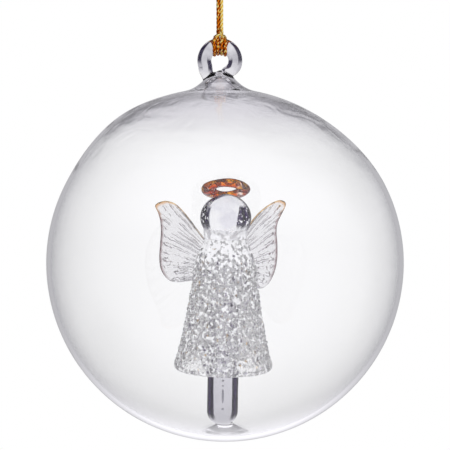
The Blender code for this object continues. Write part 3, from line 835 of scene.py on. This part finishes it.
def robeReach(drop):
    s = robeSet
    if drop < s["chestDrop"]:
        return mixed(s["topRadius"], s["chestRadius"], math.sin(drop / s["chestDrop"] * math.pi / 2.0) ** 1.05)
    share = (drop - s["chestDrop"]) / (s["height"] - s["chestDrop"])
    roll = s["roll"] * math.exp(-((s["height"] - 1.5 - drop) / 1.1) ** 2)
    return mixed(s["chestRadius"], s["hemRadius"], share ** 1.2) + roll


def chipLift(place, strength):
    # fused grains: each stands up round with a tilt and height of its own
    cell = Vector(place) / robeSet["grain"]
    near = noise.voronoi(cell, distance_metric="DISTANCE", exponent=2.5)
    reach, centre = near[0][0], near[1][0]
    seed = centre * 7.31
    tilt = Vector([noise.noise(seed + Vector((k, 9.4 * k, 4.2))) for k in (1.7, 5.3, 8.9)])
    level = noise.noise(seed + Vector((3.1, 5.7, 1.3)))
    return strength * (0.1 - robeSet["dome"] * reach * reach + 0.3 * level
                       + robeSet["tilt"] * tilt.dot(cell - centre))


def meltRobe(finish):
    s = robeSet
    lip = s["wall"] / 2.0
    profile = []
    for i in range(s["rows"] + 1):
        drop = (s["height"] - lip) * i / s["rows"]
        profile.append((robeReach(drop), s["top"] - drop, 1.0))
    edge = profile[-1]
    for r, z in arcPoints((edge[0] - lip, edge[1]), lip, 0.0, -180.0, 10)[1:]:
        profile.append((r, z, 0.0))
    for i in range(s["rows"], -1, -2):
        r, z, _ = profile[i]
        profile.append((max(r - s["wall"], s["bore"]), z, -1.0))
    verts, rows = [], []
    (start, over), (end, fade) = s["grainFrom"], s["grainTo"]
    for r, z, outer in profile:
        rows.append(list(range(len(verts), len(verts) + s["turns"])))
        drop = s["top"] - z
        rise = eased((drop - start) / over) * (1.0 - eased((drop - s["height"] + end) / fade))
        folded = eased(drop / 2.0) * (1.0 - eased(drop / s["foldEnd"]))
        for k in range(s["turns"]):
            angle = onTurn(k, s["turns"])
            place = (r * math.cos(angle), r * math.sin(angle), z)
            reach = r
            if outer > 0.5:
                reach += s["fold"] * math.cos(s["folds"] * angle + 1.0 + 0.1 * drop) * folded
                reach += chipLift(place, s["chip"] * mixed(s["calm"][0], 1.0, rise))
            elif outer < -0.5:
                place = (place[0] + 40.0, place[1], z)  # other grains than outside
                reach += chipLift(place, s["innerChip"] * s["chip"] * mixed(s["calm"][1], 1.0, rise))
            verts.append((reach * math.cos(angle) * mm, reach * math.sin(angle) * mm, z * mm))
    robe = addPiece("frostedRobe", verts, rowFaces(rows, closed=True), finish)
    faceOut(robe)
    near, far = s["shoulder"]
    drops = [s["top"] - v.co.z / mm for v in robe.data.vertices]
    storeShares(robe, frost=[1.0 - eased((drop - near) / (far - near)) for drop in drops])
    return robe


def robeFinish():
    # clear grains, a few painted near-black and violet as dark glints and a few painted amber as glints
    s = robeSet
    finish, tree, shader, body = clearGlass("robeGlass", clear=(1.0, 0.995, 1.0), edge=(0.985, 0.98, 1.0),
                                            edgeSpan=(0.45, 0.95), rippleScale=900.0, ripple=0.06)
    paintedGlints = addRamp(tree, grainOf(tree, s["tintScale"], 0.0), s["paintedGlints"])
    colour = blendColour(tree, 1.0, body, paintedGlints, "MULTIPLY")
    # white grains all over, packed close at the shoulders
    packed = times(tree, readShare(tree, "frost"), s["shoulderFrost"])
    packed = sumUp(tree, "ADD", grainOf(tree, s["whiteScale"], 1.0), packed)
    milk = fadeOver(tree, packed, s["whiteGrain"], *s["milk"])
    feed(tree, shader.inputs["Base Color"], blendColour(tree, milk, colour, s["white"]))
    feed(tree, shader.inputs["Transmission Weight"], sumUp(tree, "SUBTRACT", 1.0, milk))
    return finish


robeGlass = robeFinish()
robe = meltRobe(robeGlass)
seatFigure(robe)
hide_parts("robe")
print("robe melted,", len(robe.data.polygons), "faces")

wingSet = {
    "left": [(0.9, 0.4), (3.6, 2.2), (6.4, 5.3), (8.9, 8.5), (11.3, 10.9), (13.4, 11.7), (15.2, 11.5),
             (16.6, 10.6), (15.9, 9.0), (15.3, 7.0), (15.1, 4.6), (15.25, 1.6), (15.4, -1.6), (15.0, -4.2),
             (13.8, -6.1), (12.0, -7.1), (9.0, -6.9), (5.0, -6.0), (0.9, -5.2)],
    "right": [(0.9, 0.4), (3.6, 2.6), (6.4, 6.2), (8.7, 9.0), (11.2, 11.0), (13.4, 12.1), (15.0, 12.2),
              (16.0, 11.3), (15.0, 9.2), (14.0, 7.2), (13.7, 4.8), (14.0, 1.8), (14.0, -1.6), (13.4, -4.6),
              (12.0, -7.2), (10.0, -8.4), (7.4, -7.8), (4.0, -6.4), (0.9, -5.2)],
    "sweep": 20.0, "spine": 7.85, "seat": 1.1, "half": 0.62, "thinnest": 0.03, "round": 0.06,
    "ribs": 25.5, "ribDepth": 0.55, "grain": (0.20, 1.2), "columns": 320, "rows": 56, "rim": (0.945, 0.04),
    "amber": (0.72, 0.36, 0.10), "dark": (0.20, 0.11, 0.12),
}


def wingOutline(points, count):
    path, along = smoothPath([(u, 0.0, v) for u, v in points], 0.05)
    marks = np.linspace(0.0, along[-1], count + 1)
    return [(np.interp(m, along, path[:, 0]), np.interp(m, along, path[:, 2])) for m in marks]


def wingHalf(share, t, x, z, side):
    # half the leaf's thickness: ribs fan from the root and fade near it and towards the rim
    s = wingSet

    def stir(scale, layer):
        return noise.noise(Vector((x * scale, z * scale, layer)))

    fade = eased(t / 0.25) * (1.0 - eased((t - 0.90) / 0.10))
    ribAngle = 2.0 * math.pi * (s["ribs"] * share + 0.5 * stir(0.16, side * 3.0))
    rib = math.cos(ribAngle) * (0.6 + 0.8 * stir(0.3, side * 9.0))
    grain = mixed(*s["grain"], eased((share - 0.50) / 0.25))
    rib -= grain * (stir(1.4, side) + 0.7 * stir(2.8, side * 5.0))
    half = s["half"] * math.sqrt(max(0.0, 1.0 - max(0.0, (t - 1.0 + s["round"]) / s["round"]) ** 2))
    half -= s["ribDepth"] * fade * (0.5 - 0.5 * rib) * eased(share / 0.10) * eased((1.0 - share) / 0.06)
    return max(half, s["thinnest"])


def pressWing(name, side, points, finish):
    s = wingSet
    rootTop, rootLow = points[0], points[-1]
    front, back, verts = [], [], []
    lustre, shade = [], []
    for i, (u, v) in enumerate(wingOutline(points, s["columns"])):
        share = i / s["columns"]
        rootV = mixed(rootTop[1], rootLow[1], share)
        # the amber lustre runs along the upper rim; the outer rim is painted dark as shade
        upper = eased((share - 0.06) / 0.06) * (1.0 - eased((share - 0.44) / 0.05))
        outer = eased((share - 0.40) / 0.05) * (1.0 - eased((share - 0.70) / 0.10))
        frontRow, backRow = [], []
        for j in range(s["rows"] + 1):
            t = j / s["rows"]
            x, z = mixed(rootTop[0], u, t), mixed(rootV, v, t)
            half = wingHalf(share, t, x, z, side) if t < 1.0 else 0.0
            # the two faces share their points on the rim
            for row, y in ((frontRow, -half), (backRow, half)) if half else ((frontRow, 0.0),):
                row.append(len(verts))
                verts.append((side * x, y, z))
                rim = eased((t - s["rim"][0]) / s["rim"][1])
                lustre.append(rim * upper)
                shade.append(rim * outer)
        backRow.append(frontRow[-1])
        front.append(frontRow)
        back.append(backRow)
    faces = []
    for grid in (front, back):
        for low, high in zip(grid, grid[1:]):
            for j in range(len(low) - 1):
                faces.append((low[j], high[j], high[j + 1], low[j + 1]))
    for i in range(len(front) - 1):
        faces.append((front[i][0], front[i + 1][0], back[i + 1][0], back[i][0]))
    for edge in (0, -1):
        for j in range(len(front[0]) - 1):
            a, b, c, d = front[edge][j], front[edge][j + 1], back[edge][j + 1], back[edge][j]
            faces.append((a, b, d) if b == c else (a, b, c, d))
    turn = (Matrix.Translation((0.0, s["spine"], s["seat"]))
            @ Matrix.Rotation(side * math.radians(s["sweep"]), 4, "Z"))
    wing = addPiece(name, [turn @ Vector(v) * mm for v in verts], faces, finish)
    storeShares(wing, lustre=lustre, shade=shade)
    faceOut(wing, weld=1e-8)
    return wing


def lustreGlass(name):
    finish, tree, shader, body = clearGlass(name, clear=(0.86, 0.855, 0.87), edge=(0.50, 0.47, 0.51),
                                            edgeSpan=(0.30, 0.8), rippleScale=1300.0, ripple=0.5)
    colour = blendColour(tree, readShare(tree, "lustre"), body, wingSet["amber"])
    # painted shade along the outer rim
    colour = blendColour(tree, readShare(tree, "shade"), colour, wingSet["dark"])
    feed(tree, shader.inputs["Base Color"], colour)
    return finish


wingGlass = lustreGlass("wingGlass")
for name, side, node in (("leftLeaf", -1.0, "left_wing"), ("rightLeaf", 1.0, "right_wing")):
    wing = pressWing(name, side, wingSet["left" if side < 0 else "right"], wingGlass)
    seatFigure(wing)
    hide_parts(node)
print("wings pressed")

haloSet = {
    "radius": 3.88, "wide": 1.59, "thick": 0.82, "tilt": 26.0, "back": 0.90, "high": 16.47,
    "turns": 120, "ring": 28, "rough": 0.02, "ior": 1.3,
    "amber": [(0.0, (1.0, 0.50, 0.004)), (0.26, (0.92, 0.20, 0.001)), (0.50, (0.42, 0.015, 0.0005)),
              (0.74, (0.006, 0.0005, 0.0005))],
    "patchScale": 330.0, "patch": (0.52, 0.60), "patchFrom": (2.4 * mm, 3.4 * mm),
    "clear": (0.93, 0.80, 0.74), "poolScale": 520.0, "pool": (0.52, 0.57), "poolShare": 0.97,
    "poolRed": (0.070, 0.002, 0.0005),
}


def bendHalo(finish):
    s = haloSet
    tilt = math.radians(s["tilt"])
    verts, rows = [], []
    for i in range(s["turns"]):
        around = onTurn(i, s["turns"])
        wobble = 1.0 + 0.06 * math.sin(2.0 * around + 0.7) + 0.04 * math.sin(3.0 * around)
        row = []
        for j in range(s["ring"]):
            angle = onTurn(j, s["ring"])
            radius = s["radius"] + s["wide"] * wobble * math.cos(angle)
            up = s["thick"] * wobble * math.sin(angle)
            x, y = radius * math.cos(around), radius * math.sin(around)
            row.append(len(verts))
            verts.append((x * mm, (s["back"] + y * math.cos(tilt) + up * math.sin(tilt)) * mm,
                          (s["high"] + up * math.cos(tilt) - y * math.sin(tilt)) * mm))
        rows.append(row)
    halo = addPiece("amberHalo", verts, rowFaces(rows, closed=True), finish)
    faceOut(halo)
    return halo


def amberGlass(name):
    s = haloSet
    finish, tree, shader = newFinish(name)
    shader.inputs["Roughness"].default_value = s["rough"]
    shader.inputs["IOR"].default_value = s["ior"]
    shader.inputs["Transmission Weight"].default_value = 1.0
    # amber lustre: yellow where it faces out, red to near black at its edges in painted shade, clear in
    # patches
    facing = addNode(tree, "ShaderNodeLayerWeight", Blend=0.5).outputs["Facing"]
    x = axesOf(tree, addNode(tree, "ShaderNodeTexCoord").outputs["Object"])[0]
    aside = sumUp(tree, "ABSOLUTE", sumUp(tree, "SUBTRACT", x, ball["x"] * mm))
    patch = fadeOver(tree, grainOf(tree, s["patchScale"], 1.5), s["patch"])
    patch = times(tree, patch, fadeOver(tree, aside, s["patchFrom"]))
    colour = blendColour(tree, patch, addRamp(tree, facing, s["amber"]), s["clear"])
    # the lustre is darker red in random pools
    pools = fadeOver(tree, grainOf(tree, s["poolScale"], 1.0), s["pool"], 0.0, s["poolShare"])
    feed(tree, shader.inputs["Base Color"], blendColour(tree, pools, colour, s["poolRed"]))
    return finish


amberHalo = bendHalo(amberGlass("amberGlass"))
seatFigure(amberHalo)
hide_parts("halo")
print("halo bent")


# studio: bright sweeps before and behind, dark corners between them, a pale floor

studioSet = {
    "dark": (0.030, 0.022, 0.065), "plain": 0.65, "plainInside": 1.45,
    "ceiling": (0.08, 0.24), "strip": (0.30, 0.12), "stripGlow": 0.62,
    "rodSweep": (0.32, 0.22), "rodRise": (-0.02, 0.14),
    "figureSweep": (0.60, 0.50), "figureRise": (0.22, 0.40), "ground": (-0.34, -0.46),
    "diagonal": (0.70, 0.82),
    "front": 0.85, "side": 0.50, "frontEdge": (0.20, -0.60),
    "highEdge": (0.15, 0.50), "highBack": (-0.15, 0.30), "highDark": 0.78, "highWide": (0.08, 0.28),
    "highMiddle": 0.35, "highRightEdge": (0.0, 0.3), "highRight": 1.2,
    "leftEdge": (-0.45, -0.95), "leftDark": 0.55,
    "lowEdge": (-0.15, -0.70), "lowWide": (0.55, 0.15), "lowBack": (0.35, 0.75), "low": 0.75,
    "rightEdge": (0.45, 0.95), "rightFront": (0.45, 0.05), "right": 0.35,
    "deep": 0.65, "deepLow": 0.55, "deepEdge": (-0.10, -0.60), "tint": (0.985, 0.975, 1.02),
    # how many glass faces a ray has passed
    "pastOne": (0.4, 0.9), "pastRod": (2.4, 2.9), "withinRod": (2.9, 2.4), "pastWall": (3.4, 3.9),
    "pastGlobe": (4.4, 4.9), "withinGlobe": (4.9, 4.4),
    "floorDrop": -0.45, "floorRadius": 0.9, "floorTurns": 64,
    "floorGrey": (0.92, 0.92, 0.92), "floorRough": 0.8,
    "lampPlace": (0.78, -0.14, 0.05), "lampSize": 0.30, "lampPower": 14.0, "bounces": 24, "glossBounces": 12,
}


def layFloor():
    s = studioSet
    verts, rows = turnedGrid([(0.0, s["floorDrop"]), (s["floorRadius"], s["floorDrop"])], s["floorTurns"])
    finish, tree, shader = newFinish("paleFloor")
    feed(tree, shader.inputs["Base Color"], s["floorGrey"])
    shader.inputs["Roughness"].default_value = s["floorRough"]
    floor = addPiece("paleFloor", verts, [face[::-1] for face in rowFaces(rows)], finish)
    # glass shows the plain studio light in place of the floor's edge
    floor.visible_glossy = False
    floor.visible_transmission = False


def lightStudio():
    s = studioSet
    world = bpy.data.worlds.new("studioWorld")
    scene.world = world
    world.use_nodes = True
    tree = world.node_tree
    rays = addNode(tree, "ShaderNodeLightPath").outputs
    depth = rays["Transmission Depth"]
    x, y, z = axesOf(tree, addNode(tree, "ShaderNodeTexCoord").outputs["Generated"])
    wide, deep = sumUp(tree, "ABSOLUTE", x), sumUp(tree, "ABSOLUTE", y)
    inner, outer = sumUp(tree, "MINIMUM", wide, deep), sumUp(tree, "MAXIMUM", wide, deep)
    ratio = sumUp(tree, "DIVIDE", inner, outer)

    def fade(value, key, low=0.0, high=1.0):
        return fadeOver(tree, value, s[key], low, high)

    def brighter(first, second):
        return sumUp(tree, "MAXIMUM", first, second)

    def added(first, second):
        return sumUp(tree, "ADD", first, second)

    # through the thin globe: white all round, a dark ceiling with one paler strip each way
    shell = brighter(fade(z, "ceiling", 1.0, 0.0), fade(inner, "strip", 0.0, s["stripGlow"]))
    # through a solid rod: white sweeps on four sides, white above, dark low corners
    rod = brighter(fade(inner, "rodSweep"), fade(z, "rodRise"))
    # through the figure inside: broader sweeps, bright corners and a white ground
    figure = brighter(fade(ratio, "figureSweep"), fade(z, "figureRise"))
    figure = brighter(brighter(figure, fade(z, "ground")), fade(ratio, "diagonal"))
    through = times(tree, rod, fade(depth, "withinRod"))
    inShell = times(tree, fade(depth, "pastRod"), fade(depth, "withinGlobe"))
    through = added(through, times(tree, shell, inShell))
    through = added(through, times(tree, figure, fade(depth, "pastGlobe")))
    # seen in reflection: a bright front, quiet sides, a dark ceiling behind
    high = times(tree, fade(z, "highEdge", 0.0, s["highDark"]), fade(y, "highBack"))
    high = times(tree, high, fade(wide, "highWide", s["highMiddle"], 1.0))
    high = times(tree, high, fade(x, "highRightEdge", 1.0, s["highRight"]))
    glow = times(tree, fade(y, "frontEdge", s["side"], s["front"]), sumUp(tree, "SUBTRACT", 1.0, high))
    glow = times(tree, glow, fade(x, "leftEdge", 1.0, 1.0 - s["leftDark"]))
    low = times(tree, fade(z, "lowEdge", 0.0, s["low"]), fade(wide, "lowWide"))
    low = times(tree, low, fade(y, "lowBack"))
    right = times(tree, fade(x, "rightEdge", 0.0, s["right"]), fade(y, "rightFront"))
    mirrored = added(added(glow, right), low)
    # what lies deeper in the globe mirrors a quieter room over a pale ground
    mirrored = times(tree, mirrored, fade(depth, "pastWall", 1.0, s["deep"]))
    ground = times(tree, fade(z, "deepEdge", 0.0, s["deepLow"]), fade(depth, "pastWall"))
    mirror = blendColour(tree, 1.0, s["tint"], added(mirrored, ground), "MULTIPLY")
    white = (1.0, 1.0, 1.0)
    glossy = sumUp(tree, "MINIMUM", rays["Glossy Depth"], 1.0)
    colour = blendColour(tree, glossy, blendColour(tree, through, s["dark"], white), mirror)
    # the lamp doesn't reach through the globe, so the world alone gives what is inside its plain level
    level = fade(depth, "pastOne", s["plain"], s["plainInside"])
    colour = blendColour(tree, sumUp(tree, "MINIMUM", rays["Diffuse Depth"], 1.0), colour, level)
    colour = blendColour(tree, rays["Is Camera Ray"], colour, white)
    feed(tree, tree.nodes["Background"].inputs["Color"], colour)


def hangLamp():
    s = studioSet
    data = bpy.data.lights.new("keyLamp", "AREA")
    data.size = s["lampSize"]
    data.energy = s["lampPower"]
    lamp = addObject("keyLamp", data)
    lamp.location = s["lampPlace"]
    aim = Vector((0.0, 0.0, line["ringMid"] * mm)) - lamp.location
    lamp.rotation_euler = aim.to_track_quat("-Z", "Y").to_euler()
    lamp.visible_glossy = False
    lamp.visible_transmission = False


layFloor()
hangLamp()
lightStudio()
scene.cycles.max_bounces = studioSet["bounces"]
scene.cycles.transmission_bounces = studioSet["bounces"]
scene.cycles.glossy_bounces = studioSet["glossBounces"]
scene.cycles.transparent_max_bounces = studioSet["bounces"]
scene.view_settings.view_transform = "Standard"
print("studio lit")
